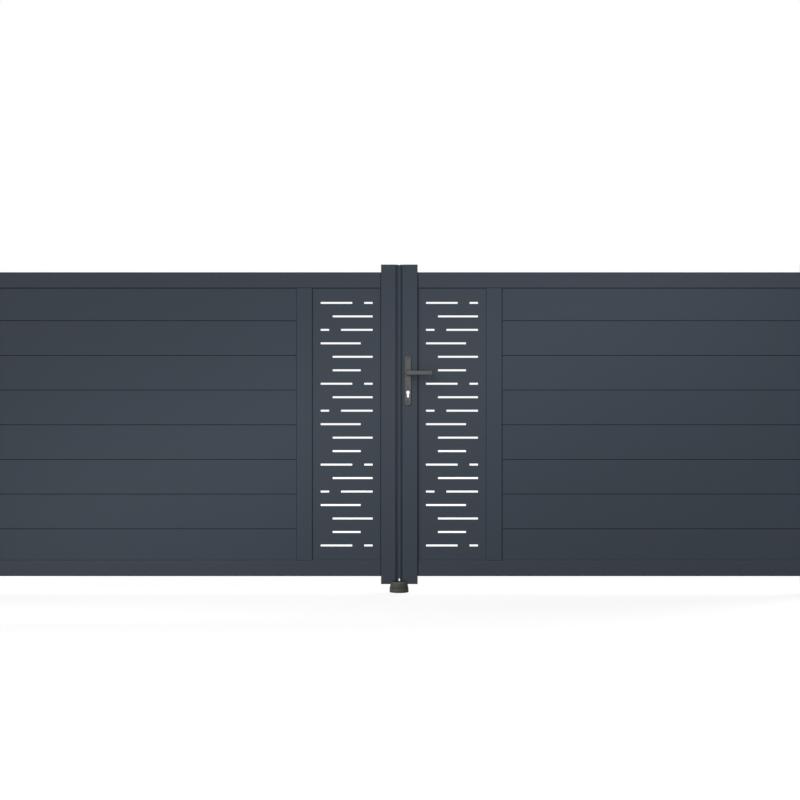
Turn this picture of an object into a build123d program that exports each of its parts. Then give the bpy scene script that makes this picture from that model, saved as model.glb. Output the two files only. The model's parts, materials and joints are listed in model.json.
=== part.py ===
from build123d import *
import os

# Double leaf swing gate of extruded frame members, slatted infill and perforated panels.
# Millimetres, +Z up. The outer side faces -Y and the leaves swing inward, towards +Y.
# The origin is the centre of the underside of the left post's base plate.

# Opening and leaves, across the gate
CLEAR_OPENING = 4050.0
LEAF_EDGE = 1985.0  # from the gate's centre line to the hinge edge of a leaf
LIP_EDGE = 3.0  # from the centre line to the lip of a meeting stile
STILE_FACE_EDGE = 17.0  # from the centre line to the wide face of a meeting stile
STILE_WIDTH = 70.0
MULLION_START = 414.0
MULLION_WIDTH = 74.0

# Heights above the ground
LEAF_BOTTOM = 38.0
LEAF_TOP = 1556.0
BOTTOM_RAIL = (75.0, 150.0)
TOP_RAIL = (1445.0, 1520.0)

# Extrusions
STILE_DEPTH = 50.0
RAIL_DEPTH = 40.0
LIP_DEPTH = 34.0
WALL = 2.0
CORNER_RADIUS = 3.0
GROOVE_WIDTH = 30.0
GROOVE_DEPTH = 15.0
TOP_GROOVE_DEPTH = 10.0
CAP_THICKNESS = 3.0
CAP_CORNER = 1.75
CAP_PLUG_DEPTH = 15.0
CAP_PLUG_PLAY = 0.4

# Slats
SLAT_COUNT = 8
SLAT_PITCH = 165.0
SLAT_JOINT = 1.0
SLAT_CHAMFER = 1.5
SLAT_SEAT = 12.0  # how far a slat's end reaches into its groove
SLAT_WALL = 1.5
TONGUE_WIDTH = 8.0
TONGUE_HEIGHT = 8.0
TONGUE_PLAY = 0.5
SLAT_CELLS = 2

# Perforated panels
PANEL_SHEET = 3.0
PANEL_SEAT = 12.0
SLOT_ROWS = 19
SLOT_ROW_PITCH = 64.1
SLOT_HEIGHT = 9.0
SLOT_FIELD_WIDTH = 247.0
SLOT_SHORT = 40.0
SLOT_LONG = 150.0
SLOT_GAP = 57.0

# Seals between the meeting stiles
SEAL_INNER = 1.2
SEAL_OUTER = 7.0
SEAL_HEIGHT = 7.0
SEAL_BOTTOM = 64.0
SEAL_TOP = 1553.0

# Posts
POST_WIDTH = 120.0
POST_WALL = 4.0
POST_CORNER = 6.0
POST_TOP = 1620.0
POST_CAP_THICKNESS = 6.0
POST_CAP_CORNER = 3.5
BASE_PLATE_WIDTH = 220.0
BASE_PLATE_THICKNESS = 10.0
BASE_PLATE_CORNER = 12.0
ANCHOR_SPACING = 160.0
ANCHOR_HOLE_RADIUS = 7.0

# Hinges
HINGE_AXIS_Y = 40.0
HINGE_HEIGHTS = (240.0, 1355.0)
HINGE_PIN_RADIUS = 6.0
HINGE_PIN_PLAY = 0.05
HINGE_KNUCKLE_RADIUS = 12.0
HINGE_EYE_HEIGHT = 50.0
HINGE_EYE_PLAY = 1.0
HINGE_EAR_THICKNESS = 12.0
HINGE_PLATE_THICKNESS = 4.0
HINGE_PLATE_WIDTH = 60.0
HINGE_PLATE_Y = 25.0
HINGE_PLATE_HEIGHT = 110.0
HINGE_STRAP_LENGTH = 62.0
HINGE_STRAP_THICKNESS = 7.0
HINGE_PIN_TOP = 14.0  # above its eye

# Lock and lever on the right leaf
LOCK_X = 41.2  # from the centre line
LOCK_PLATE_WIDTH = 28.5
LOCK_PLATE_BOTTOM = 886.0
LOCK_PLATE_TOP = 1120.0
LOCK_PLATE_THICKNESS = 5.0
LEVER_AXIS_Z = 1040.4
CYLINDER_DROP = 92.0  # from the lever's axis down to the cylinder hole's circle
CYLINDER_RADIUS = 8.5
CYLINDER_SLOT_WIDTH = 10.0
CYLINDER_HEIGHT = 33.0
SPINDLE_WIDTH = 8.0
SPINDLE_HOLE_RADIUS = 9.2
NECK_RADIUS = 8.6
LEVER_REACH = (33.6, 156.6)  # from the centre line to the lever's two ends
LEVER_HEIGHT = 21.0
LEVER_THICKNESS = 10.0
LEVER_FRONT_Y = 72.0
LEVER_BEND_RADIUS = 12.0
LEVER_EDGE = 1.5
LOCK_CASE_WIDTH = 16.0
LOCK_CASE_END = 67.0
LOCK_CASE_HEIGHTS = (905.0, 1100.0)
FACEPLATE_WIDTH = 24.0
FACEPLATE_THICKNESS = 2.5
FACEPLATE_HEIGHTS = (885.0, 1120.0)
STRIKE_HEIGHTS = (950.0, 1110.0)
LATCH_WINDOW = (12.0, 34.0)

# Ground stop under the meeting stiles
STOP_CENTRE_X = -1.2  # from the centre line
STOP_CENTRE_Y = -20.0
STOP_FLANGE_RADIUS = 45.2
STOP_FLANGE_HEIGHT = 18.0
STOP_BODY_RADIUS = 44.0
STOP_TOP_RADIUS = 41.5
STOP_LOW_TOP = 28.0
STOP_HIGH_TOP = 50.0
STOP_EDGE = 7.0
STOP_FACE_Y = -30.0
STOP_HOLE_SPACING = 44.0
STOP_HOLE_RADIUS = 4.5
STOP_HOLE_Y = -8.0

# Worked out from the sizes above
GATE_CENTRE = CLEAR_OPENING / 2 + POST_WIDTH / 2
HINGE_AXIS = (LEAF_EDGE + CLEAR_OPENING / 2) / 2
PANEL_START = STILE_FACE_EDGE + STILE_WIDTH
SLATS_START = MULLION_START + MULLION_WIDTH
HINGE_STILE_START = LEAF_EDGE - STILE_WIDTH
CYLINDER_Z = LEVER_AXIS_Z - CYLINDER_DROP
SIDES = {"left": -1, "right": 1}

os.makedirs("parts", exist_ok=True)


def save(piece, name):
    """Label one finished piece and write it to its own file."""
    piece.part.label = name
    export_step(piece.part, f"parts/{name}.step")


def across(side, start, end):
    """Centre x and width of a stretch given by its distances from the centre line."""
    return GATE_CENTRE + side * (start + end) / 2, abs(end - start)


def block(x, y, x_size, y_size, mode=Mode.ADD):
    """A rectangle in the current sketch."""
    with Locations((x, y)):
        Rectangle(x_size, y_size, mode=mode)


# Frame members

def stile_hollow(side, back, face):
    """Cut the cells and the infill groove of a stile that spans from back to face."""
    step = 1 if face > back else -1
    x, width = across(side, back + step * WALL, face - step * (GROOVE_DEPTH + WALL))
    block(x, 0, width, STILE_DEPTH - 2 * WALL, Mode.SUBTRACT)
    x, width = across(side, face - step * GROOVE_DEPTH, face)
    block(x, 0, width, GROOVE_WIDTH, Mode.SUBTRACT)
    x, width = across(side, face - step * GROOVE_DEPTH, face - step * WALL)
    pocket = STILE_DEPTH / 2 - GROOVE_WIDTH / 2 - 2 * WALL
    pocket_y = STILE_DEPTH / 2 - WALL - pocket / 2
    for y in (-pocket_y, pocket_y):
        block(x, y, width, pocket, Mode.SUBTRACT)


def hinge_stile(side):
    with BuildPart() as stile:
        with BuildSketch(Plane.XY.offset(LEAF_BOTTOM + CAP_THICKNESS)):
            x, width = across(side, HINGE_STILE_START, LEAF_EDGE)
            with Locations((x, 0)):
                RectangleRounded(width, STILE_DEPTH, CORNER_RADIUS)
            stile_hollow(side, LEAF_EDGE, HINGE_STILE_START)
        extrude(amount=LEAF_TOP - LEAF_BOTTOM - 2 * CAP_THICKNESS)
    return stile


def cylinder_profile():
    """The round and slot of the lock cylinder's hole, in the current upright sketch."""
    x = GATE_CENTRE + LOCK_X
    slot_end = CYLINDER_Z + CYLINDER_RADIUS - CYLINDER_HEIGHT + CYLINDER_SLOT_WIDTH / 2
    with Locations((x, CYLINDER_Z)):
        Circle(CYLINDER_RADIUS)
    with Locations((x, slot_end)):
        Circle(CYLINDER_SLOT_WIDTH / 2)
        Rectangle(
            CYLINDER_SLOT_WIDTH, CYLINDER_Z - slot_end, align=(Align.CENTER, Align.MIN)
        )


def meeting_stile(side, with_lock):
    """The stile at the middle of the gate, with a set back lip along its free edge."""
    with BuildPart() as stile:
        with BuildSketch(Plane.XY.offset(LEAF_BOTTOM + CAP_THICKNESS)):
            x, width = across(side, STILE_FACE_EDGE, PANEL_START)
            with Locations((x, 0)):
                RectangleRounded(width, STILE_DEPTH, CORNER_RADIUS)
            x, width = across(side, LIP_EDGE, STILE_FACE_EDGE + WALL)
            block(x, 0, width, LIP_DEPTH)
            stile_hollow(side, STILE_FACE_EDGE, PANEL_START)
            x, width = across(side, LIP_EDGE + WALL, STILE_FACE_EDGE)
            block(x, 0, width, LIP_DEPTH - 2 * WALL, Mode.SUBTRACT)
        extrude(amount=LEAF_TOP - LEAF_BOTTOM - 2 * CAP_THICKNESS)
        recess_bottom, recess_top = FACEPLATE_HEIGHTS if with_lock else STRIKE_HEIGHTS
        with BuildSketch(Plane.XY.offset(recess_bottom)):
            x, width = across(side, LIP_EDGE, LIP_EDGE + FACEPLATE_THICKNESS)
            block(x, 0, width, FACEPLATE_WIDTH)
        extrude(amount=recess_top - recess_bottom, mode=Mode.SUBTRACT)
        if with_lock:
            with BuildSketch(Plane.XZ):
                cylinder_profile()
                with Locations((GATE_CENTRE + LOCK_X, LEVER_AXIS_Z)):
                    Circle(SPINDLE_HOLE_RADIUS)
            extrude(amount=STILE_DEPTH, both=True, mode=Mode.SUBTRACT)
            with BuildSketch(Plane.XY.offset(LOCK_CASE_HEIGHTS[0])):
                x, width = across(side, LIP_EDGE, LOCK_CASE_END)
                block(x, 0, width, LOCK_CASE_WIDTH)
            extrude(amount=LOCK_CASE_HEIGHTS[1] - LOCK_CASE_HEIGHTS[0], mode=Mode.SUBTRACT)
    return stile


def rail(side, outer_z, inner_z, groove_depth):
    """A rail between the two stiles of a leaf, grooved along the edge at inner_z."""
    step = 1 if inner_z > outer_z else -1
    first, last = sorted(
        (GATE_CENTRE + side * PANEL_START, GATE_CENTRE + side * HINGE_STILE_START)
    )
    with BuildPart() as member:
        with BuildSketch(Plane.YZ.offset(first)):
            with Locations((0, (outer_z + inner_z) / 2)):
                RectangleRounded(RAIL_DEPTH, abs(inner_z - outer_z), CORNER_RADIUS)
            cell_start = outer_z + step * WALL
            cell_end = inner_z - step * (groove_depth + WALL)
            block(
                0,
                (cell_start + cell_end) / 2,
                RAIL_DEPTH - 2 * WALL,
                abs(cell_end - cell_start),
                Mode.SUBTRACT,
            )
            block(
                0, inner_z - step * groove_depth / 2, GROOVE_WIDTH, groove_depth, Mode.SUBTRACT
            )
        extrude(amount=last - first)
    return member


def mullion(side):
    """The upright between the perforated panel and the slats, grooved on both edges."""
    with BuildPart() as member:
        with BuildSketch(Plane.XY.offset(BOTTOM_RAIL[1])):
            x, width = across(side, MULLION_START, SLATS_START)
            with Locations((x, 0)):
                RectangleRounded(width, RAIL_DEPTH, CORNER_RADIUS)
            block(x, 0, width - 2 * (GROOVE_DEPTH + WALL), RAIL_DEPTH - 2 * WALL, Mode.SUBTRACT)
            for edge, inward in ((MULLION_START, 1), (SLATS_START, -1)):
                x, width = across(side, edge, edge + inward * GROOVE_DEPTH)
                block(x, 0, width, GROOVE_WIDTH, Mode.SUBTRACT)
        extrude(amount=TOP_RAIL[0] - BOTTOM_RAIL[1])
    return member


def stile_caps(side):
    """The end caps of one leaf's two stiles, each a plate with a plug in the hollow."""
    spans = (
        (STILE_FACE_EDGE, PANEL_START, 1),
        (LEAF_EDGE, HINGE_STILE_START, -1),
    )
    with BuildPart() as caps:
        for back, face, step in spans:
            for end_z, plug_z in (
                (LEAF_BOTTOM, LEAF_BOTTOM + CAP_THICKNESS),
                (LEAF_TOP - CAP_THICKNESS, LEAF_TOP - CAP_THICKNESS - CAP_PLUG_DEPTH),
            ):
                with BuildSketch(Plane.XY.offset(end_z)):
                    x, width = across(side, back, face)
                    with Locations((x, 0)):
                        outline = Rectangle(width, STILE_DEPTH)
                    chamfer(outline.vertices(), CAP_CORNER)
                    if back == STILE_FACE_EDGE:
                        x, width = across(side, LIP_EDGE, STILE_FACE_EDGE + WALL)
                        block(x, 0, width, LIP_DEPTH)
                extrude(amount=CAP_THICKNESS)
                with BuildSketch(Plane.XY.offset(plug_z)):
                    x, width = across(
                        side,
                        back + step * (WALL + CAP_PLUG_PLAY),
                        face - step * (GROOVE_DEPTH + WALL + CAP_PLUG_PLAY),
                    )
                    block(x, 0, width, STILE_DEPTH - 2 * (WALL + CAP_PLUG_PLAY))
                extrude(amount=CAP_PLUG_DEPTH)
    return caps


# Infill

def slat_section(index):
    """One slat in the current sketch: body, tongue above, groove below and its cells."""
    bottom = BOTTOM_RAIL[1] - GROOVE_DEPTH + index * SLAT_PITCH
    height = SLAT_PITCH - SLAT_JOINT
    thickness = GROOVE_WIDTH
    with Locations((0, bottom + height / 2)):
        body = Rectangle(thickness, height)
    chamfer(body.vertices(), SLAT_CHAMFER)
    if index < SLAT_COUNT - 1:
        tongue_top = bottom + height + TONGUE_HEIGHT
        block(0, tongue_top - TONGUE_HEIGHT, TONGUE_WIDTH, 2 * TONGUE_HEIGHT)
    notch_height = TONGUE_HEIGHT + TONGUE_PLAY
    if index > 0:
        block(0, bottom, TONGUE_WIDTH + 2 * TONGUE_PLAY, 2 * notch_height, Mode.SUBTRACT)
    cell_bottom = bottom + notch_height + SLAT_WALL
    cell_top = bottom + height - SLAT_WALL
    if index < SLAT_COUNT - 1:
        cell_top -= TONGUE_HEIGHT
    cell_pitch = (cell_top - cell_bottom + SLAT_WALL) / SLAT_CELLS
    with Locations((0, (cell_bottom + cell_top) / 2)):
        with GridLocations(0, cell_pitch, 1, SLAT_CELLS):
            Rectangle(
                thickness - 2 * SLAT_WALL, cell_pitch - SLAT_WALL, mode=Mode.SUBTRACT
            )


def slats(side):
    first, last = sorted(
        (
            GATE_CENTRE + side * (SLATS_START - SLAT_SEAT),
            GATE_CENTRE + side * (HINGE_STILE_START + SLAT_SEAT),
        )
    )
    with BuildPart() as boards:
        for index in range(SLAT_COUNT):
            with BuildSketch(Plane.YZ.offset(first)):
                slat_section(index)
            extrude(amount=last - first)
    return boards


def slot_rows():
    """The slots of each row, from the top, as distances across the field and lengths."""
    middle = SLOT_FIELD_WIDTH - 2 * SLOT_GAP
    wide = SLOT_FIELD_WIDTH - SLOT_GAP
    long_then_short = ((0, SLOT_LONG), (SLOT_LONG + SLOT_GAP, SLOT_SHORT))
    short_then_long = ((0, SLOT_SHORT), (SLOT_SHORT + SLOT_GAP, SLOT_LONG))
    wide_right = ((SLOT_GAP, wide),)
    wide_left = ((0, wide),)
    centred = ((SLOT_GAP, middle),)
    cycle = (long_then_short, wide_right, short_then_long, wide_left, wide_right, centred)
    return [cycle[row % len(cycle)] for row in range(SLOT_ROWS)]


def perforated_panel(side):
    """A folded sheet with rows of slots; its rim turns back and fills the grooves."""
    x, width = across(side, PANEL_START - PANEL_SEAT, MULLION_START + PANEL_SEAT)
    bottom = BOTTOM_RAIL[1] - PANEL_SEAT
    top = TOP_RAIL[0] + TOP_GROOVE_DEPTH
    middle_z = (bottom + top) / 2
    front = GROOVE_WIDTH / 2
    field_x, _ = across(side, PANEL_START, MULLION_START)
    field_z = (BOTTOM_RAIL[1] + TOP_RAIL[0]) / 2
    with BuildPart() as panel:
        with BuildSketch(Plane.XZ.offset(-front)):
            block(x, middle_z, width, top - bottom)
        extrude(amount=GROOVE_WIDTH)
        with BuildSketch(Plane.XZ.offset(-front)):
            block(x, middle_z, width - 2 * PANEL_SHEET, top - bottom - 2 * PANEL_SHEET)
        extrude(amount=GROOVE_WIDTH - PANEL_SHEET, mode=Mode.SUBTRACT)
        with BuildSketch(Plane.XZ.offset(front)):
            for row, slots in enumerate(slot_rows()):
                z = field_z + (SLOT_ROWS // 2 - row) * SLOT_ROW_PITCH
                for start, length in slots:
                    left = field_x - SLOT_FIELD_WIDTH / 2 + start
                    block(left + length / 2, z, length, SLOT_HEIGHT)
        extrude(amount=-2 * PANEL_SHEET, mode=Mode.SUBTRACT)
    return panel


def seals(side):
    """The rubber strips on both faces of a meeting stile's lip."""
    with BuildPart() as strips:
        with BuildSketch(Plane.XY.offset(SEAL_BOTTOM)):
            x, width = across(side, SEAL_INNER, SEAL_OUTER)
            for y in (-1, 1):
                block(x, y * (LIP_DEPTH + SEAL_HEIGHT) / 2, width, SEAL_HEIGHT)
        extrude(amount=SEAL_TOP - SEAL_BOTTOM)
    return strips


# Posts and hinges

def post(side):
    with BuildPart() as tube:
        with BuildSketch(Plane.XY.offset(BASE_PLATE_THICKNESS)):
            with Locations((GATE_CENTRE + side * GATE_CENTRE, 0)):
                RectangleRounded(POST_WIDTH, POST_WIDTH, POST_CORNER)
                inside = POST_WIDTH - 2 * POST_WALL
                Rectangle(inside, inside, mode=Mode.SUBTRACT)
        extrude(amount=POST_TOP - POST_CAP_THICKNESS - BASE_PLATE_THICKNESS)
    return tube


def post_cap(side):
    """A flat cap with bevelled edges and a plug in the tube."""
    x = GATE_CENTRE + side * GATE_CENTRE
    plug = POST_WIDTH - 2 * (POST_WALL + CAP_PLUG_PLAY)
    with BuildPart() as cap:
        with BuildSketch(Plane.XY.offset(POST_TOP - POST_CAP_THICKNESS)):
            with Locations((x, 0)):
                outline = Rectangle(POST_WIDTH, POST_WIDTH)
            chamfer(outline.vertices(), POST_CAP_CORNER)
        extrude(amount=POST_CAP_THICKNESS)
        chamfer(cap.faces().sort_by(Axis.Z)[-1].edges(), POST_CAP_THICKNESS / 2)
        with BuildSketch(Plane.XY.offset(POST_TOP - POST_CAP_THICKNESS)):
            block(x, 0, plug, plug)
        extrude(amount=-CAP_PLUG_DEPTH)
    return cap


def base_plate(side):
    with BuildPart() as plate:
        with BuildSketch(Plane.XY):
            with Locations((GATE_CENTRE + side * GATE_CENTRE, 0)):
                plan = Rectangle(BASE_PLATE_WIDTH, BASE_PLATE_WIDTH)
                chamfer(plan.vertices(), BASE_PLATE_CORNER)
                with GridLocations(ANCHOR_SPACING, ANCHOR_SPACING, 2, 2):
                    Circle(ANCHOR_HOLE_RADIUS, mode=Mode.SUBTRACT)
        extrude(amount=BASE_PLATE_THICKNESS)
    return plate


def hinge_brackets(side):
    """Plates against one post, each with an ear that holds a pin under an eye."""
    post_face = CLEAR_OPENING / 2
    plate_face = post_face - HINGE_PLATE_THICKNESS
    ear_offset = HINGE_EYE_HEIGHT / 2 + HINGE_EYE_PLAY + HINGE_EAR_THICKNESS
    with BuildPart() as brackets:
        for height in HINGE_HEIGHTS:
            with BuildSketch(Plane.XY.offset(height - HINGE_PLATE_HEIGHT / 2)):
                x, width = across(side, plate_face, post_face)
                block(x, HINGE_PLATE_Y, width, HINGE_PLATE_WIDTH)
            extrude(amount=HINGE_PLATE_HEIGHT)
            with BuildSketch(Plane.XY.offset(height - ear_offset)):
                x, width = across(side, HINGE_AXIS, plate_face)
                block(x, HINGE_AXIS_Y, width, 2 * HINGE_KNUCKLE_RADIUS)
                with Locations((GATE_CENTRE + side * HINGE_AXIS, HINGE_AXIS_Y)):
                    Circle(HINGE_KNUCKLE_RADIUS)
                    Circle(HINGE_PIN_RADIUS, mode=Mode.SUBTRACT)
            extrude(amount=HINGE_EAR_THICKNESS)
    return brackets


def hinge_pins(side):
    """Pins that stand in the ears and pass up through the eyes."""
    below = HINGE_EYE_HEIGHT / 2 + HINGE_EYE_PLAY + HINGE_EAR_THICKNESS
    above = HINGE_EYE_HEIGHT / 2 + HINGE_PIN_TOP
    with BuildPart() as pins:
        for height in HINGE_HEIGHTS:
            with BuildSketch(Plane.XY.offset(height - below)):
                with Locations((GATE_CENTRE + side * HINGE_AXIS, HINGE_AXIS_Y)):
                    Circle(HINGE_PIN_RADIUS)
            extrude(amount=below + above)
    return pins


def hinge_eyes(side):
    """The eyes on the back of one hinge stile, each with its strap."""
    with BuildPart() as eyes:
        for height in HINGE_HEIGHTS:
            with BuildSketch(Plane.XY.offset(height - HINGE_EYE_HEIGHT / 2)):
                x, width = across(side, HINGE_AXIS - HINGE_STRAP_LENGTH, HINGE_AXIS)
                strap_y = (STILE_DEPTH + HINGE_STRAP_THICKNESS) / 2
                block(x, strap_y, width, HINGE_STRAP_THICKNESS)
                with Locations((GATE_CENTRE + side * HINGE_AXIS, HINGE_AXIS_Y)):
                    Circle(HINGE_KNUCKLE_RADIUS)
                    Circle(HINGE_PIN_RADIUS + HINGE_PIN_PLAY, mode=Mode.SUBTRACT)
            extrude(amount=HINGE_EYE_HEIGHT)
    return eyes


# Lock and lever

def lock_case():
    """The lock's case inside the right meeting stile."""
    with BuildPart() as case:
        with BuildSketch(Plane.XY.offset(LOCK_CASE_HEIGHTS[0])):
            x, width = across(1, LIP_EDGE + FACEPLATE_THICKNESS, LOCK_CASE_END)
            block(x, 0, width, LOCK_CASE_WIDTH)
        extrude(amount=LOCK_CASE_HEIGHTS[1] - LOCK_CASE_HEIGHTS[0])
        with BuildSketch(Plane.XZ):
            cylinder_profile()
            with Locations((GATE_CENTRE + LOCK_X, LEVER_AXIS_Z)):
                Circle(SPINDLE_HOLE_RADIUS)
        extrude(amount=LOCK_CASE_WIDTH, both=True, mode=Mode.SUBTRACT)
    return case


def edge_plate(side, heights):
    """A plate let into the edge of a lip, with the latch's window."""
    edge_x = GATE_CENTRE + side * LIP_EDGE
    with BuildPart() as plate:
        with BuildSketch(Plane.YZ.offset(edge_x)):
            block(0, (heights[0] + heights[1]) / 2, FACEPLATE_WIDTH, heights[1] - heights[0])
            block(0, LEVER_AXIS_Z, *LATCH_WINDOW, Mode.SUBTRACT)
        extrude(amount=side * FACEPLATE_THICKNESS)
    return plate


def lock_plate(outward):
    """A long plate with round ends; outward is -1 on the outer side and 1 on the inner."""
    length = LOCK_PLATE_TOP - LOCK_PLATE_BOTTOM
    x = GATE_CENTRE + LOCK_X
    stile_face = outward * STILE_DEPTH / 2
    with BuildPart() as plate:
        with BuildSketch(Plane.XZ.offset(-stile_face)):
            with Locations((x, (LOCK_PLATE_TOP + LOCK_PLATE_BOTTOM) / 2)):
                SlotOverall(length, LOCK_PLATE_WIDTH, rotation=90)
        extrude(amount=-outward * LOCK_PLATE_THICKNESS)
        with BuildSketch(Plane.XZ):
            cylinder_profile()
            with Locations((x, LEVER_AXIS_Z)):
                Circle(SPINDLE_HOLE_RADIUS)
        extrude(amount=STILE_DEPTH, both=True, mode=Mode.SUBTRACT)
    return plate


def lever(outward):
    """A flat bar bent round to a round neck that turns in the plate."""
    x = GATE_CENTRE + LOCK_X
    start, end = (GATE_CENTRE + reach for reach in LEVER_REACH)
    bar_y = outward * (LEVER_FRONT_Y - LEVER_THICKNESS / 2)
    neck_start = STILE_DEPTH / 2
    with BuildPart() as handle:
        with BuildSketch(Plane.XY.offset(LEVER_AXIS_Z - LEVER_HEIGHT / 2)):
            block((start + end) / 2, bar_y, end - start, LEVER_THICKNESS)
            width = 2 * (x - start)
            neck_end = LEVER_FRONT_Y - LEVER_THICKNESS - LEVER_BEND_RADIUS / 2
            block(
                x,
                outward * (LEVER_FRONT_Y + neck_end) / 2,
                width,
                LEVER_FRONT_Y - neck_end,
            )
        extrude(amount=LEVER_HEIGHT)
        uprights = handle.edges().filter_by(Axis.Z)
        front = uprights.group_by(Axis.Y)[-1 if outward > 0 else 0].sort_by(Axis.X)
        fillet(front[0], LEVER_BEND_RADIUS)
        front_face = handle.faces().filter_by(Axis.Y).sort_by(Axis.Y)[-1 if outward > 0 else 0]
        end_face = handle.faces().filter_by(Axis.X).sort_by(Axis.X)[-1]
        chamfer(front_face.edges() + end_face.edges(), LEVER_EDGE)
        with BuildSketch(Plane.XZ.offset(-outward * neck_start)):
            with Locations((x, LEVER_AXIS_Z)):
                Circle(NECK_RADIUS)
        extrude(amount=-outward * (LEVER_FRONT_Y - LEVER_THICKNESS - neck_start))
    return handle


def spindle():
    """The square bar that joins the two levers through the lock."""
    with BuildPart() as bar:
        with BuildSketch(Plane.XZ):
            with Locations((GATE_CENTRE + LOCK_X, LEVER_AXIS_Z)):
                Rectangle(SPINDLE_WIDTH, SPINDLE_WIDTH)
        extrude(amount=STILE_DEPTH / 2, both=True)
    return bar


# Ground stop

def ground_stop():
    """A round stop: a low half under the leaves and a raised half outside them."""
    centre = (GATE_CENTRE + STOP_CENTRE_X, STOP_CENTRE_Y)
    with BuildPart() as stop:
        with BuildSketch(Plane.XZ.offset(-STOP_CENTRE_Y)):
            with BuildLine():
                outline = Polyline(
                    (centre[0], 0),
                    (centre[0] + STOP_FLANGE_RADIUS, 0),
                    (centre[0] + STOP_FLANGE_RADIUS, STOP_FLANGE_HEIGHT),
                    (centre[0] + STOP_BODY_RADIUS, STOP_FLANGE_HEIGHT),
                    (centre[0] + STOP_TOP_RADIUS, STOP_HIGH_TOP),
                    (centre[0], STOP_HIGH_TOP),
                    close=True,
                )
                rim = outline.vertices().group_by(Axis.X)[1]
            make_face()
            chamfer(rim, STOP_EDGE)
        revolve(axis=Axis((centre[0], STOP_CENTRE_Y, 0), (0, 0, 1)))
        with BuildSketch(Plane.XY.offset(STOP_LOW_TOP)):
            with Locations((centre[0], STOP_FACE_Y)):
                Rectangle(
                    3 * STOP_FLANGE_RADIUS,
                    3 * STOP_FLANGE_RADIUS,
                    align=(Align.CENTER, Align.MIN),
                )
        extrude(amount=STOP_HIGH_TOP, mode=Mode.SUBTRACT)
        with Locations((centre[0], STOP_HOLE_Y, STOP_LOW_TOP)):
            with GridLocations(STOP_HOLE_SPACING, 0, 2, 1):
                Hole(STOP_HOLE_RADIUS)
    return stop


for side_name, side in SIDES.items():
    save(post(side), f"{side_name}_post")
    save(post_cap(side), f"{side_name}_post_cap")
    save(base_plate(side), f"{side_name}_base_plate")
    save(hinge_brackets(side), f"{side_name}_hinge_brackets")
    save(hinge_pins(side), f"{side_name}_hinge_pins")
    save(hinge_eyes(side), f"{side_name}_hinge_eyes")
    save(hinge_stile(side), f"{side_name}_hinge_stile")
    save(meeting_stile(side, side_name == "right"), f"{side_name}_meeting_stile")
    save(rail(side, *BOTTOM_RAIL, GROOVE_DEPTH), f"{side_name}_bottom_rail")
    save(rail(side, *reversed(TOP_RAIL), TOP_GROOVE_DEPTH), f"{side_name}_top_rail")
    save(mullion(side), f"{side_name}_mullion")
    save(stile_caps(side), f"{side_name}_stile_caps")
    save(slats(side), f"{side_name}_slats")
    save(perforated_panel(side), f"{side_name}_perforated_panel")
    save(seals(side), f"{side_name}_seals")

save(lock_case(), "lock_case")
save(edge_plate(1, FACEPLATE_HEIGHTS), "lock_faceplate")
save(edge_plate(-1, STRIKE_HEIGHTS), "strike_plate")
save(lock_plate(-1), "outer_lock_plate")
save(lock_plate(1), "inner_lock_plate")
save(lever(-1), "outer_lever")
save(lever(1), "inner_lever")
save(spindle(), "spindle")
save(ground_stop(), "ground_stop")
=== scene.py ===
import json
import math

import bmesh
import bpy
from mathutils import Matrix, Vector


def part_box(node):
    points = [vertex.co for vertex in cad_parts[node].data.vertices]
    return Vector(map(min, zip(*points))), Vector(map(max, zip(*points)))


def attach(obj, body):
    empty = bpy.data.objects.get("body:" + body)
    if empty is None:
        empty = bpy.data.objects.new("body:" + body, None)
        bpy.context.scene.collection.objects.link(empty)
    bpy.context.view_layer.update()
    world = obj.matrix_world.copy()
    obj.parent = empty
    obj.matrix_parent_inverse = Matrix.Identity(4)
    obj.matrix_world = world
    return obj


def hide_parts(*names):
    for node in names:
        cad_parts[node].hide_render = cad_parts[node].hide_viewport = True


# Looks of a double leaf swing gate with slats, slotted panels and a lever lock.
# Metres, +Z up. The outer side of the gate faces -Y.

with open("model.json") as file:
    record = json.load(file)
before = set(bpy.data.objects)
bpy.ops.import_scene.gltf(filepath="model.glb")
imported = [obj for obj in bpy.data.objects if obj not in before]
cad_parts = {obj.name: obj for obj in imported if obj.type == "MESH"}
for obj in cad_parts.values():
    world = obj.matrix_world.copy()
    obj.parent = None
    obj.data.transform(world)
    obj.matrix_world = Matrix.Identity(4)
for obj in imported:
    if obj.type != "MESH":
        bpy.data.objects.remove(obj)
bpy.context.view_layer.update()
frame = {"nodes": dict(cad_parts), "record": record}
NODES = frame["nodes"]
MM = 0.001


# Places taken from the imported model

def low(node):
    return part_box(node)[0]


def high(node):
    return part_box(node)[1]


def middle(node):
    """Centre of a node's box."""
    return (low(node) + high(node)) / 2


def end_of(node, axis, way):
    """Where a node's box ends along an axis, the positive or the negative way."""
    return getattr(high(node) if way > 0 else low(node), axis)


GATE_CENTRE = (high("left_meeting_stile").x + low("right_meeting_stile").x) / 2
STILE_FRONT = low("right_meeting_stile").y
STILE_BACK = high("right_meeting_stile").y
LOCK_X = middle("outer_lock_plate").x
LEVER_Z = middle("outer_lever").z
SIDES = {"left": -1, "right": 1}
FACINGS = {"outer": -1, "inner": 1}


# Camera, straight on to the outer side

CAMERA_OFFSET = 3.2 * MM  # sideways from the gate's centre line
CAMERA_HEIGHT = 0.9125
CAMERA_DISTANCE = 7.5  # from the stiles' outer face
VIEW_WIDTH = 3.8  # what the picture spans at that face


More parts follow.
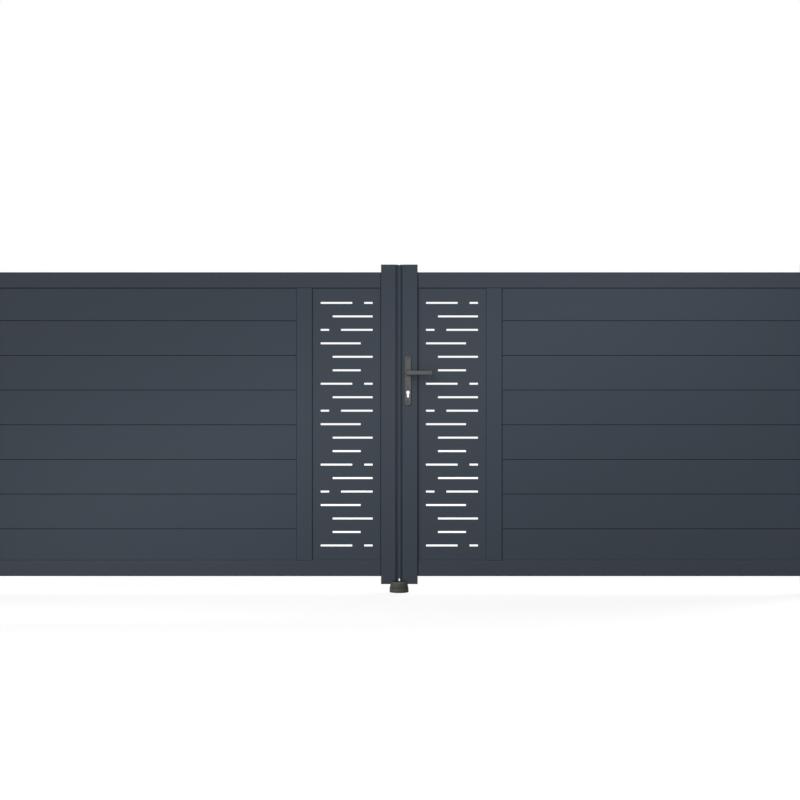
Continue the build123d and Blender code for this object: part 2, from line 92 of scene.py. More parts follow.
def make_camera():
    data = bpy.data.cameras.new("gate_camera")
    data.sensor_width = 36.0
    data.angle = 2 * math.atan(VIEW_WIDTH / 2 / CAMERA_DISTANCE)
    camera = bpy.data.objects.new("gate_camera", data)
    bpy.context.scene.collection.objects.link(camera)
    camera.location = (
        GATE_CENTRE + CAMERA_OFFSET,
        STILE_FRONT - CAMERA_DISTANCE,
        CAMERA_HEIGHT,
    )
    camera.rotation_euler = (math.radians(90), 0, 0)
    bpy.context.scene.camera = camera


# Shader groups

def shader_group(name, inputs, outputs):
    """An empty shader group with named sockets, and its two end nodes."""
    group = bpy.data.node_groups.new(name, "ShaderNodeTree")
    for direction, sockets in (("INPUT", inputs), ("OUTPUT", outputs)):
        for label, kind, value in sockets:
            socket = group.interface.new_socket(
                label, in_out=direction, socket_type="NodeSocket" + kind
            )
            if value is not None:
                socket.default_value = value
    start = group.nodes.new("NodeGroupInput")
    end = group.nodes.new("NodeGroupOutput")
    return group, start, end


def math_node(tree, operation, first, second):
    """The result of a sum on two numbers or sockets."""
    node = tree.nodes.new("ShaderNodeMath")
    node.operation = operation
    for socket, value in zip(node.inputs, (first, second)):
        if isinstance(value, (int, float)):
            socket.default_value = value
        else:
            tree.links.new(value, socket)
    return node.outputs["Value"]


def noise_node(tree, place, scale, detail):
    node = tree.nodes.new("ShaderNodeTexNoise")
    node.inputs["Detail"].default_value = detail
    tree.links.new(place, node.inputs["Vector"])
    if isinstance(scale, (int, float)):
        node.inputs["Scale"].default_value = scale
    else:
        tree.links.new(scale, node.inputs["Scale"])
    return node.outputs["Fac"]


def scaled_color(tree, color, factor):
    node = tree.nodes.new("ShaderNodeVectorMath")
    node.operation = "SCALE"
    tree.links.new(color, node.inputs["Vector"])
    tree.links.new(factor, node.inputs["Scale"])
    return node.outputs["Vector"]


def object_place(tree):
    return tree.nodes.new("ShaderNodeTexCoord").outputs["Object"]


TEXTURE_OUTPUTS = [
    ("Color", "Color", None),
    ("Roughness", "Float", None),
    ("Height", "Float", None),
]
MOTTLE_SCALE = 1.3  # broad patches, about one a metre
FLECK_SHARE = 0.5  # of the grain in the colour, against the broad patches


def make_fine_grain():
    """Fine texture of a powder coat or a moulded plastic, with faint broad mottling."""
    group, start, end = shader_group(
        "fine_grain",
        [
            ("Color", "Color", (0.1, 0.1, 0.1, 1)),
            ("Mottle", "Float", 0.06),
            ("Grain Scale", "Float", 900.0),
            ("Roughness", "Float", 0.45),
            ("Roughness Spread", "Float", 0.08),
        ],
        TEXTURE_OUTPUTS,
    )
    place = object_place(group)
    grain = noise_node(group, place, start.outputs["Grain Scale"], 2.0)
    broad = noise_node(group, place, MOTTLE_SCALE, 1.0)
    shift = math_node(group, "SUBTRACT", broad, 0.5)
    fleck = math_node(group, "MULTIPLY", math_node(group, "SUBTRACT", grain, 0.5), FLECK_SHARE)
    amount = math_node(
        group, "MULTIPLY", math_node(group, "ADD", shift, fleck), start.outputs["Mottle"]
    )
    color = scaled_color(group, start.outputs["Color"], math_node(group, "ADD", amount, 1.0))
    wander = math_node(group, "MULTIPLY", shift, start.outputs["Roughness Spread"])
    rough = math_node(group, "ADD", wander, start.outputs["Roughness"])
    for value, label in ((color, "Color"), (rough, "Roughness"), (grain, "Height")):
        group.links.new(value, end.inputs[label])
    return group


def make_brushing():
    """Fine parallel scratches of brushed metal along one axis."""
    group, start, end = shader_group(
        "brushing",
        [
            ("Color", "Color", (0.4, 0.4, 0.4, 1)),
            ("Stretch", "Vector", (40.0, 2500.0, 2500.0)),
            ("Contrast", "Float", 0.12),
            ("Roughness", "Float", 0.3),
        ],
        TEXTURE_OUTPUTS,
    )
    stretch = group.nodes.new("ShaderNodeVectorMath")
    stretch.operation = "MULTIPLY"
    group.links.new(object_place(group), stretch.inputs[0])
    group.links.new(start.outputs["Stretch"], stretch.inputs[1])
    lines = noise_node(group, stretch.outputs["Vector"], 1.0, 3.0)
    shift = math_node(group, "MULTIPLY", math_node(group, "SUBTRACT", lines, 0.5), 2.0)
    amount = math_node(group, "MULTIPLY", shift, start.outputs["Contrast"])
    color = scaled_color(group, start.outputs["Color"], math_node(group, "ADD", amount, 1.0))
    rough = math_node(group, "ADD", amount, start.outputs["Roughness"])
    for value, label in ((color, "Color"), (rough, "Roughness"), (lines, "Height")):
        group.links.new(value, end.inputs[label])
    return group


DUST_COLOR = (0.32, 0.3, 0.27, 1)
DUST_SLOPE = 0.5  # upward part of the normal from which dust stays
DUST_PATCHES = 35.0
DUST_GAIN = 2.5
DUST_DULLING = 0.4  # roughness that a full film adds


def make_settled_dust():
    """A thin film of dust on what faces upward, patchy and dull."""
    group, start, end = shader_group(
        "settled_dust",
        [
            ("Color", "Color", (0.1, 0.1, 0.1, 1)),
            ("Roughness", "Float", 0.5),
            ("Amount", "Float", 0.3),
        ],
        [("Color", "Color", None), ("Roughness", "Float", None)],
    )
    facing = group.nodes.new("ShaderNodeSeparateXYZ")
    normal = group.nodes.new("ShaderNodeNewGeometry").outputs["Normal"]
    group.links.new(normal, facing.inputs["Vector"])
    slope = math_node(group, "SUBTRACT", facing.outputs["Z"], DUST_SLOPE)
    upward = math_node(group, "MAXIMUM", slope, 0.0)
    patches = noise_node(group, object_place(group), DUST_PATCHES, 4.0)
    film = math_node(group, "MULTIPLY", math_node(group, "MULTIPLY", upward, patches), DUST_GAIN)
    cover = math_node(group, "MULTIPLY", film, start.outputs["Amount"])
    mix = group.nodes.new("ShaderNodeMix")
    mix.data_type = "RGBA"
    group.links.new(cover, mix.inputs["Factor"])
    group.links.new(start.outputs["Color"], mix.inputs["A"])
    mix.inputs["B"].default_value = DUST_COLOR
    group.links.new(mix.outputs["Result"], end.inputs["Color"])
    dull = math_node(group, "MULTIPLY", cover, DUST_DULLING)
    group.links.new(
        math_node(group, "ADD", dull, start.outputs["Roughness"]), end.inputs["Roughness"]
    )
    return group


FINE_GRAIN = make_fine_grain()
BRUSHING = make_brushing()
SETTLED_DUST = make_settled_dust()


# Finishes

RELIEF_DEPTH = 0.1 * MM


def group_in_material(tree, group, values):
    node = tree.nodes.new("ShaderNodeGroup")
    node.node_tree = group
    for label, value in values.items():
        node.inputs[label].default_value = value
    return node


def make_finish(name, texture, values, bump, dust, metallic=0.0, **shader_values):
    """A finish whose colour, roughness and bump come from shader groups."""
    material = bpy.data.materials.new(name)
    material.use_nodes = True
    tree = material.node_tree
    shader = tree.nodes["Principled BSDF"]
    surface = group_in_material(tree, texture, values)
    film = group_in_material(tree, SETTLED_DUST, {"Amount": dust})
    for label, socket in (("Color", "Base Color"), ("Roughness", "Roughness")):
        tree.links.new(surface.outputs[label], film.inputs[label])
        tree.links.new(film.outputs[label], shader.inputs[socket])
    relief = tree.nodes.new("ShaderNodeBump")
    relief.inputs["Strength"].default_value = bump
    relief.inputs["Distance"].default_value = RELIEF_DEPTH
    tree.links.new(surface.outputs["Height"], relief.inputs["Height"])
    tree.links.new(relief.outputs["Normal"], shader.inputs["Normal"])
    shader.inputs["Metallic"].default_value = metallic
    for label, value in shader_values.items():
        shader.inputs[label.replace("_", " ")].default_value = value
    return material


ANTHRACITE = (0.0405, 0.0515, 0.0665, 1)
MATT_GLOSS = {"Specular_IOR_Level": 0.12}
FINISHES = {
    "coated_metal": make_finish(
        "anthracite_powder_coat", FINE_GRAIN,
        {"Color": ANTHRACITE, "Mottle": 0.05, "Grain Scale": 1400.0, "Roughness": 0.5},
        bump=0.25, dust=0.12, **MATT_GLOSS,
    ),
    "hinge_steel": make_finish(
        "hinge_powder_coat", FINE_GRAIN,
        {"Color": ANTHRACITE, "Mottle": 0.08, "Grain Scale": 1100.0, "Roughness": 0.55},
        bump=0.35, dust=0.15, **MATT_GLOSS,
    ),
    "handle_metal": make_finish(
        "satin_grey_handle", BRUSHING,
        {"Color": (0.0555, 0.0565, 0.0565, 1), "Contrast": 0.06, "Roughness": 0.38},
        bump=0.05, dust=0.05, metallic=0.5,
    ),
    "lock_steel": make_finish(
        "brushed_lock_steel", BRUSHING,
        {"Color": (0.45, 0.45, 0.44, 1), "Stretch": (2500.0, 2500.0, 40.0)},
        bump=0.08, dust=0.03, metallic=1.0,
    ),
    "cap_plastic": make_finish(
        "cap_plastic", FINE_GRAIN,
        {"Color": (0.034, 0.043, 0.055, 1), "Grain Scale": 1800.0, "Roughness": 0.6},
        bump=0.3, dust=0.15, **MATT_GLOSS,
    ),
    "seal_rubber": make_finish(
        "seal_rubber", FINE_GRAIN,
        {"Color": ANTHRACITE, "Grain Scale": 2500.0, "Roughness": 0.7},
        bump=0.15, dust=0.1, **MATT_GLOSS,
    ),
    # Near-black painted shade: it colours the joint lines and the stop's pad, standing for the
    # shade that falls in gaps, grooves and recesses.
    "painted_shade": make_finish(
        "painted_shade_finish", FINE_GRAIN,
        {"Color": (0.004, 0.005, 0.006, 1), "Grain Scale": 2500.0, "Roughness": 0.8},
        bump=0.1, dust=0.03, Specular_IOR_Level=0.05,
    ),
    "stop_plastic": make_finish(
        "stop_plastic", FINE_GRAIN,
        {"Color": (0.064, 0.065, 0.0595, 1), "Grain Scale": 1200.0, "Roughness": 0.5},
        bump=0.4, dust=0.2, **MATT_GLOSS,
    ),
}


def dress(piece, finish):
    piece.data.materials.clear()
    piece.data.materials.append(FINISHES[finish])


def dress_cad_nodes():
    for part in frame["record"]["subparts"]:
        dress(NODES[part["node"]], part["material_slot"])


# Mesh making

def mesh_from(bm, name):
    bmesh.ops.recalc_face_normals(bm, faces=bm.faces)
    mesh = bpy.data.meshes.new(name)
    bm.to_mesh(mesh)
    bm.free()
    return mesh


def add_piece(name, bm, finish, body, sharp=32):
    """A smooth shaded piece that rides with one body of the gate."""
    mesh = mesh_from(bm, name)
    for face in mesh.polygons:
        face.use_smooth = True
    mesh.set_sharp_from_angle(angle=math.radians(sharp))
    piece = bpy.data.objects.new(name, mesh)
    bpy.context.scene.collection.objects.link(piece)
    dress(piece, finish)
    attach(piece, body)
    return piece


def aim(at, facing):
    """A frame at a point, with its Z axis the way that a fixing faces."""
    return Matrix.Translation(at) @ Vector(facing).to_track_quat("Z", "Y").to_matrix().to_4x4()


def raised(place, height):
    """The same frame, moved along its own Z axis."""
    return place @ Matrix.Translation((0, 0, height))


def arc(centre, radius, start, end, steps):
    """Points on an arc, by its angles in degrees."""
    angles = [math.radians(start + (end - start) * step / steps) for step in range(steps + 1)]
    return [
        (centre[0] + radius * math.cos(angle), centre[1] + radius * math.sin(angle))
        for angle in angles
    ]


def circle(radius, steps, centre=(0, 0)):
    return arc(centre, radius, 0, 360, steps)[:-1]


def hexagon(across_flats, steps):
    """Points round a hexagon at even angles."""
    points = []
    for step in range(steps):
        angle = 2 * math.pi * step / steps
        from_flat = (angle + math.pi / 6) % (math.pi / 3) - math.pi / 6
        reach = across_flats / 2 / math.cos(from_flat)
        points.append((reach * math.cos(angle), reach * math.sin(angle)))
    return points


def add_ring(bm, place, points, height):
    return [bm.verts.new(place @ Vector((x, y, height))) for x, y in points]


HUB = [(0, 0)]  # a ring drawn in to its centre


def bridge(bm, first, second):
    """Faces between two closed rings, or a fan where one of them is a single point."""
    count = max(len(first), len(second))
    for step in range(count):
        after = (step + 1) % count
        corners = [
            first[step % len(first)],
            first[after % len(first)],
            second[after % len(second)],
            second[step % len(second)],
        ]
        bm.faces.new(list(dict.fromkeys(corners)))


def bridge_all(bm, rings):
    for first, second in zip(rings, rings[1:]):
        bridge(bm, first, second)


def turn(bm, place, profile, segments=40):
    """Revolve a profile of (radius, height) points about the place's Z axis."""
    bridge_all(bm, [
        add_ring(bm, place, circle(radius, segments) if radius else HUB, height)
        for radius, height in profile
    ])


HEAD_SEGMENTS = 36
CROWN_SHARE = 0.475  # flat crown's radius, of a hexagon's width across flats
CHAMFER_SLOPE = math.tan(math.radians(30))


def hex_head(bm, place, across_flats, height):
    """A hexagon with its corners turned off to a cone, as on a bolt's head or a nut."""
    crown = across_flats * CROWN_SHARE
    outline = hexagon(across_flats, HEAD_SEGMENTS)
    shoulder = [
        raised(place, height - max(0.0, math.hypot(x, y) - crown) * CHAMFER_SLOPE)
        @ Vector((x, y, 0))
        for x, y in outline
    ]
    bridge_all(bm, [
        add_ring(bm, place, HUB, 0),
        add_ring(bm, place, outline, 0),
        [bm.verts.new(point) for point in shoulder],
        add_ring(bm, place, circle(crown, HEAD_SEGMENTS), height),
        add_ring(bm, place, HUB, height),
    ])


def washer(bm, place, outer, inner, thickness):
    edge = 0.25 * thickness
    turn(bm, place, [
        (inner, 0), (outer, 0), (outer, thickness - edge), (outer - edge, thickness),
        (inner, thickness), (inner, 0),
    ])


SKIRT_DEPTH = 0.6 * MM


def socket_screw(bm, place, radius, crown):
    """A low domed screw head with a hexagon socket, its skirt just under the surface."""
    dome = [(radius, -SKIRT_DEPTH)] + [
        (radius * math.cos(math.radians(angle)), crown * math.sin(math.radians(angle)))
        for angle in (0, 25, 45)
    ]
    rim = 0.85 * crown
    socket = hexagon(0.9 * radius, HEAD_SEGMENTS)
    bridge_all(bm, [
        add_ring(bm, place, HUB, -SKIRT_DEPTH),
        *(add_ring(bm, place, circle(reach, HEAD_SEGMENTS), height) for reach, height in dome),
        add_ring(bm, place, socket, rim),
        add_ring(bm, place, socket, rim - 0.5 * radius),
        add_ring(bm, place, HUB, rim - 0.6 * radius),
    ])


def cut_block(outlines, place, depth, edge, both_rims):
    """A block cut to closed outlines in the place's XY plane, its rims rounded."""
    bm = bmesh.new()
    for points in outlines:
        loop = [bm.verts.new((x, y, 0)) for x, y in points]
        for first, second in zip(loop, loop[1:] + loop[:1]):
            bm.edges.new((first, second))
    bmesh.ops.triangle_fill(bm, use_beauty=True, use_dissolve=False, edges=bm.edges[:])
    grown = bmesh.ops.extrude_face_region(bm, geom=bm.faces[:])["geom"]
    lifted = [v for v in grown if isinstance(v, bmesh.types.BMVert)]
    bmesh.ops.translate(bm, verts=lifted, vec=(0, 0, depth))
    bmesh.ops.recalc_face_normals(bm, faces=bm.faces)
    levels = (0, depth) if both_rims else (depth,)
    rims = [
        e for e in bm.edges
        if e.calc_face_angle(0) > math.radians(60)
        and any(all(abs(v.co.z - level) < 0.01 * MM for v in e.verts) for level in levels)
    ]
    bmesh.ops.bevel(bm, geom=rims, offset=edge, segments=4, profile=0.5, affect="EDGES")
    bmesh.ops.dissolve_degenerate(bm, dist=0.001 * MM, edges=bm.edges)
    bmesh.ops.transform(bm, matrix=place, verts=bm.verts)
    return bm


# Lock plates and their screws

PLATE_EDGE = 1.1 * MM
CYLINDER_DROP = 92 * MM
CYLINDER_RADIUS = 8.5 * MM
CYLINDER_SLOT_RADIUS = 5 * MM
CYLINDER_HEIGHT = 33 * MM
NECK_HOLE_RADIUS = 9.2 * MM
PLATE_SCREW_RADIUS = 3.9 * MM
PLATE_SCREW_CROWN = 0.7 * MM


def cylinder_outline():
    """The profile cylinder's hole: a circle with a round ended slot under it."""
    centre = (LOCK_X, LEVER_Z - CYLINDER_DROP)
    spread = math.degrees(math.asin(CYLINDER_SLOT_RADIUS / CYLINDER_RADIUS))
    slot_end = centre[1] + CYLINDER_RADIUS - CYLINDER_HEIGHT + CYLINDER_SLOT_RADIUS
    return arc(centre, CYLINDER_RADIUS, -90 + spread, 270 - spread, 40) + arc(
        (LOCK_X, slot_end), CYLINDER_SLOT_RADIUS, 180, 360, 16
    )


def lock_plate(where):
    """A long plate with round ends, holed for the cylinder, the lever's neck and two screws."""
    facing = FACINGS[where]
    node = f"{where}_lock_plate"
    radius = (high(node).x - low(node).x) / 2
    screw_heights = (low(node).z + radius, high(node).z - radius)
    outline = arc((LOCK_X, screw_heights[1]), radius, 0, 180, 32) + arc(
        (LOCK_X, screw_heights[0]), radius, 180, 360, 32
    )
    holes = [cylinder_outline(), circle(NECK_HOLE_RADIUS, 40, (LOCK_X, LEVER_Z))]
    for z in screw_heights:
        holes.append(circle(PLATE_SCREW_RADIUS + 0.2 * MM, 28, (LOCK_X, z)))
    back, front = end_of(node, "y", -facing), end_of(node, "y", facing)
    upright = Matrix(((1, 0, 0, 0), (0, 0, facing, back), (0, 1, 0, 0), (0, 0, 0, 1)))
    bm = cut_block([outline, *holes], upright, abs(front - back), PLATE_EDGE, False)
    plate = add_piece(f"{where}_escutcheon", bm, "handle_metal", "right_leaf")
    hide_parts(node)

    bm = bmesh.new()
    for z in screw_heights:
        place = aim((LOCK_X, front - facing * PLATE_SCREW_CROWN, z), (0, facing, 0))
        socket_screw(bm, place, PLATE_SCREW_RADIUS, PLATE_SCREW_CROWN)
    add_piece(f"{where}_plate_screws", bm, "handle_metal", "right_leaf")


EDGE_SCREW_INSET = 11 * MM  # from the plate's end
EDGE_SCREW_RADIUS = 3.6 * MM
EDGE_SCREW_CROWN = 0.6 * MM


def edge_plate_screws(name, node, body, facing):
    """Two screws in the plate on a meeting stile's edge."""
    bm = bmesh.new()
    for z in (low(node).z + EDGE_SCREW_INSET, high(node).z - EDGE_SCREW_INSET):
        place = aim((end_of(node, "x", facing), 0, z), (facing, 0, 0))
        socket_screw(bm, place, EDGE_SCREW_RADIUS, EDGE_SCREW_CROWN)
    add_piece(name, bm, "lock_steel", body)


# Levers

BAR_THICKNESS = 10 * MM
BAR_EDGE = 2.4 * MM
BAR_CORNER = 3 * MM  # at the bend
BAR_END_CORNER = 2.7 * MM
BEND_RADIUS = 6 * MM  # inside the bend
LEG_LENGTH = 10 * MM  # from the bar's back toward the plate
LEG_HALF_WIDTH = 7.6 * MM
NECK_RADIUS = 8.6 * MM
NECK_OVERLAP = 1 * MM  # into the leg
NECK_GROOVE = (7.5 * MM, 9.3 * MM)  # its two ends, from the stile's face
NECK_GROOVE_DEPTH = 0.5 * MM
GRUB_RADIUS = 2.4 * MM
GRUB_CROWN = 0.3 * MM
GRUB_REACH = 14 * MM  # from the plate's face


def lever_outline(reach, end_x):
    """The bar seen from above, in (x, distance from the gate's middle plane)."""
    back = reach - BAR_THICKNESS
    leg_end = back - LEG_LENGTH
    left, right = LOCK_X - LEG_HALF_WIDTH, LOCK_X + LEG_HALF_WIDTH
    tip = end_x - BAR_END_CORNER
    return (
        [(left, leg_end)]
        + arc((left + BAR_CORNER, reach - BAR_CORNER), BAR_CORNER, 180, 90, 8)
        + arc((tip, reach - BAR_END_CORNER), BAR_END_CORNER, 90, 0, 8)
        + arc((tip, back + BAR_END_CORNER), BAR_END_CORNER, 0, -90, 8)
        + arc((right + BEND_RADIUS, back - BEND_RADIUS), BEND_RADIUS, 90, 180, 10)
        + [(right, leg_end)]
    )


def lever(where):
    """A lever with its neck, and the grub screw under it."""
    facing = FACINGS[where]
    node = f"{where}_lever"
    reach = abs(end_of(node, "y", facing))
    flat = Matrix(((1, 0, 0, 0), (0, facing, 0, 0), (0, 0, 1, low(node).z), (0, 0, 0, 1)))
    bar_height = high(node).z - low(node).z
    bm = cut_block([lever_outline(reach, high(node).x)], flat, bar_height, BAR_EDGE, True)

    neck_start = end_of("right_meeting_stile", "y", facing)
    neck_end = facing * (reach - BAR_THICKNESS - LEG_LENGTH + NECK_OVERLAP)
    length = abs(neck_end - neck_start)
    groove_radius = NECK_RADIUS - NECK_GROOVE_DEPTH
    turn(bm, aim((LOCK_X, neck_start, LEVER_Z), (0, facing, 0)), [
        (0, 0),
        (NECK_RADIUS, 0),
        (NECK_RADIUS, NECK_GROOVE[0]),
        (groove_radius, NECK_GROOVE[0] + NECK_GROOVE_DEPTH),
        (groove_radius, NECK_GROOVE[1] - NECK_GROOVE_DEPTH),
        (NECK_RADIUS, NECK_GROOVE[1]),
        (NECK_RADIUS, length),
        (0, length),
    ], segments=48)

    plate_front = end_of(f"{where}_lock_plate", "y", facing)
    grub = (LOCK_X, plate_front + facing * GRUB_REACH, LEVER_Z - NECK_RADIUS + GRUB_CROWN)
    socket_screw(bm, aim(grub, (0, 0, -1)), GRUB_RADIUS, GRUB_CROWN)
    handle = add_piece(f"{where}_lever_handle", bm, "handle_metal", "lever", sharp=40)
    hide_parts(node)


COLLAR_BORE = 8.9 * MM
COLLAR_RADIUS = 11.4 * MM
COLLAR_SINK = 2 * MM
COLLAR_RISE = 2 * MM


def neck_collar(where):
    """The ring on the plate that the lever's neck turns in."""
    facing = FACINGS[where]
    plate_front = end_of(f"{where}_lock_plate", "y", facing)
    bm = bmesh.new()
    turn(bm, aim((LOCK_X, plate_front, LEVER_Z), (0, facing, 0)), [
        (COLLAR_BORE, -COLLAR_SINK),
        (COLLAR_RADIUS, -COLLAR_SINK),
        (COLLAR_RADIUS, COLLAR_RISE - 0.8 * MM),
        (COLLAR_RADIUS - 0.5 * MM, COLLAR_RISE - 0.2 * MM),
        (COLLAR_BORE + 0.4 * MM, COLLAR_RISE),
        (COLLAR_BORE, COLLAR_RISE - 0.4 * MM),
        (COLLAR_BORE, -COLLAR_SINK),
    ], segments=56)
    add_piece(f"{where}_neck_collar", bm, "handle_metal", "right_leaf")


# Seals on the meeting stiles' lips

SEAL_HEIGHT = 7 * MM
SEAL_FOOT = 3.4 * MM  # width of the foot on the lip
SEAL_WEB = 2.2 * MM  # thickness of the flap
SEAL_SHOULDER = 4.4 * MM
SEAL_TAPER = 0.6 * MM
SEAL_CORNER = 0.8 * MM
SEAL_TIP = 0.5 * MM


def seal(side_name):
    """A flexible strip on each face of a lip, its flap reaching the gate's centre line."""
    side = SIDES[side_name]
    node = f"{side_name}_seals"
    width = abs(end_of(node, "x", side) - GATE_CENTRE)
    face = high(node).y
    half = (
        [(width - SEAL_FOOT, face - SEAL_HEIGHT), (width, face - SEAL_HEIGHT)]
        + arc((width - SEAL_CORNER, face - SEAL_CORNER), SEAL_CORNER, 0, 90, 6)
        + arc((SEAL_TIP, face - SEAL_TIP), SEAL_TIP, 90, 180, 4)
        + [(0, face - SEAL_WEB), (width - SEAL_SHOULDER, face - SEAL_WEB - SEAL_TAPER)]
    )
    bm = bmesh.new()
    for facing in FACINGS.values():
        outline = [(GATE_CENTRE + side * x, facing * y) for x, y in half]
        ends = [
            add_ring(bm, Matrix.Identity(4), outline, z) for z in (low(node).z, high(node).z)
        ]
        bridge(bm, *ends)
        for end in ends:
            bm.faces.new(end)
    strip = add_piece(f"{side_name}_lip_seals", bm, "seal_rubber", f"{side_name}_leaf")
    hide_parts(node)


# Ground stop

STOP_FACE_Y = -30 * MM  # the raised half's flat face, toward the leaves
STOP_LOW_TOP = 28 * MM
STOP_PAD_TOP = 53.5 * MM
STOP_GROOVE = (20.3 * MM, 22.8 * MM)  # its two ends, from the ground
STOP_GROOVE_RADIUS = 39 * MM
STOP_BODY_RADIUS = 44 * MM
STOP_SHOULDER_RADIUS = 42.1 * MM
STOP_CROWN = 10 * MM  # rounding of the top's edge
STOP_EDGE = 0.9 * MM
CUTTER_SIZE = 0.2


def stop_profile(radius, top):
    """The stop's turned shape, in (radius, height), from the flange to the crown."""
    foot, flange, body = 1.2 * MM, 1.5 * MM, 0.8 * MM  # roundings
    return (
        [(0, 0), (radius - foot, 0)]
        + arc((radius - foot, foot), foot, -90, 0, 4)
        + arc((radius - flange, STOP_GROOVE[0] - flange), flange, 0, 90, 4)
        + [(STOP_GROOVE_RADIUS, STOP_GROOVE[0]), (STOP_GROOVE_RADIUS, STOP_GROOVE[1])]
        + arc((STOP_BODY_RADIUS - body, STOP_GROOVE[1] + body), body, -90, 0, 3)
        + arc((STOP_SHOULDER_RADIUS - STOP_CROWN, top - STOP_CROWN), STOP_CROWN, 5, 90, 9)
        + [(0, top)]
    )


def turned_stop(centre):
    """A turned stop with a groove over its flange, cut down where the leaves pass."""
    radius = (high("ground_stop").x - low("ground_stop").x) / 2
    profile = stop_profile(radius, high("ground_stop").z)
    bm = bmesh.new()
    turn(bm, Matrix.Translation(centre), profile, segments=112)
    body = bpy.data.objects.new("turned_stop", mesh_from(bm, "turned_stop"))
    bm = bmesh.new()
    bmesh.ops.create_cube(bm, size=CUTTER_SIZE)
    bmesh.ops.translate(bm, verts=bm.verts, vec=(
        centre.x, STOP_FACE_Y + CUTTER_SIZE / 2, STOP_LOW_TOP + CUTTER_SIZE / 2
    ))
    cutter = bpy.data.objects.new("stop_cutter", mesh_from(bm, "stop_cutter"))
    for thing in (body, cutter):
        bpy.context.scene.collection.objects.link(thing)
    cut = body.modifiers.new("cut", "BOOLEAN")
    cut.operation = "DIFFERENCE"
    cut.solver = "EXACT"
    cut.object = cutter
    soften = body.modifiers.new("soften", "BEVEL")
    soften.width = STOP_EDGE
    soften.segments = 2
    soften.limit_method = "ANGLE"
    soften.angle_limit = math.radians(50)
    graph = bpy.context.evaluated_depsgraph_get()
    bm = bmesh.new()
    bm.from_mesh(body.evaluated_get(graph).to_mesh())
    for thing in (body, cutter):
        bpy.data.objects.remove(thing)
    stop = add_piece("turned_ground_stop", bm, "stop_plastic", "posts", sharp=28)
    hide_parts("ground_stop")


BUFFER_HALF_WIDTH = 33 * MM
BUFFER_ROUNDING = 2.5 * MM
BUFFER_THICKNESS = 4 * MM  # half of it let into the stop's face
BUFFER_EDGE = 0.8 * MM


def stop_buffer_and_shade(centre):
    """The rubber pad on the raised half's flat face, near-black so that it also paints the shade
    line above the stop.
    """
    half, rounding = BUFFER_HALF_WIDTH, BUFFER_ROUNDING
    rise = STOP_PAD_TOP - STOP_LOW_TOP
    outline = (
        [(-half, 0)]
        + arc((-half + rounding, rise - rounding), rounding, 180, 90, 6)
        + arc((half - rounding, rise - rounding), rounding, 90, 0, 6)
        + [(half, 0)]
    )
    upright = Matrix((
        (1, 0, 0, centre.x),
        (0, 0, 1, STOP_FACE_Y - BUFFER_THICKNESS / 2),
        (0, 1, 0, STOP_LOW_TOP),
        (0, 0, 0, 1),
    ))
    bm = cut_block([outline], upright, BUFFER_THICKNESS, BUFFER_EDGE, True)
    add_piece("stop_buffer_and_shade", bm, "painted_shade", "posts")


STOP_SCREW_OFFSET = 22 * MM
STOP_SCREW_Y = -8 * MM
STOP_WASHER = (8 * MM, 4.4 * MM, 1.2 * MM)  # outer and inner radius, thickness
STOP_SCREW = (6 * MM, 2.6 * MM)  # radius, crown


def stop_ground_screws(centre):
    """Two screws with washers in the stop's low half."""
    bm = bmesh.new()
    for offset in (-STOP_SCREW_OFFSET, STOP_SCREW_OFFSET):
        place = aim((centre.x + offset, STOP_SCREW_Y, STOP_LOW_TOP), (0, 0, 1))
        washer(bm, place, *STOP_WASHER)
        socket_screw(bm, raised(place, STOP_WASHER[2]), *STOP_SCREW)
    add_piece("stop_ground_screws", bm, "lock_steel", "posts")


def ground_stop():
    centre = middle("ground_stop")
    centre.z = 0
    turned_stop(centre)
    stop_buffer_and_shade(centre)
    stop_ground_screws(centre)


# Hinges

HINGE_PLATE_HALF = 55 * MM
HINGE_PLATE_THICKNESS = 4 * MM
HINGE_EYE_HALF = 25 * MM
STRAP_THICKNESS = 7 * MM
BRACKET_BOLT_Y = 10 * MM
BRACKET_BOLT_LIFT = 42 * MM  # above and below the hinge's middle
BRACKET_WASHER = (10 * MM, 5 * MM, 2 * MM)  # outer and inner radius, thickness
BRACKET_BOLT_HEAD = (16 * MM, 6.4 * MM)  # across flats, height
STRAP_SCREW_INSETS = (11 * MM, 33 * MM)  # from the strap's end
STRAP_SCREW_LIFT = 14 * MM
STRAP_SCREW = (5 * MM, 2.4 * MM)  # radius, crown
PIN_WASHER_RADIUS = 11.5 * MM
PIN_WASHER_BORE = 6.05 * MM
LOWER_WASHER = (-HINGE_EYE_HALF - 0.95 * MM, 0.9 * MM)  # foot from the eye's middle, thickness
UPPER_WASHER = (HINGE_EYE_HALF + 0.3 * MM, 1.1 * MM)
PIN_NUT_START = 1.4 * MM  # above the eye
PIN_NUT = (19 * MM, 7 * MM)  # across flats, height
PIN_DOME_START = 6.2 * MM  # above the nut's foot
PIN_DOME_FOOT_RADIUS = 9 * MM
PIN_DOME_RADIUS = 8.9 * MM


def hinge_heights(side_name):
    node = f"{side_name}_hinge_brackets"
    return (low(node).z + HINGE_PLATE_HALF, high(node).z - HINGE_PLATE_HALF)


def bracket_bolts(side_name):
    """Hexagon bolts through each bracket's plate into the post."""
    side = SIDES[side_name]
    plate_face = end_of(f"{side_name}_post", "x", -side) - side * HINGE_PLATE_THICKNESS
    bm = bmesh.new()
    for height in hinge_heights(side_name):
        for lift in (-BRACKET_BOLT_LIFT, BRACKET_BOLT_LIFT):
            place = aim((plate_face, BRACKET_BOLT_Y, height + lift), (-side, 0, 0))
            washer(bm, place, *BRACKET_WASHER)
            hex_head(bm, raised(place, BRACKET_WASHER[2]), *BRACKET_BOLT_HEAD)
    add_piece(f"{side_name}_bracket_bolts", bm, "lock_steel", "posts")


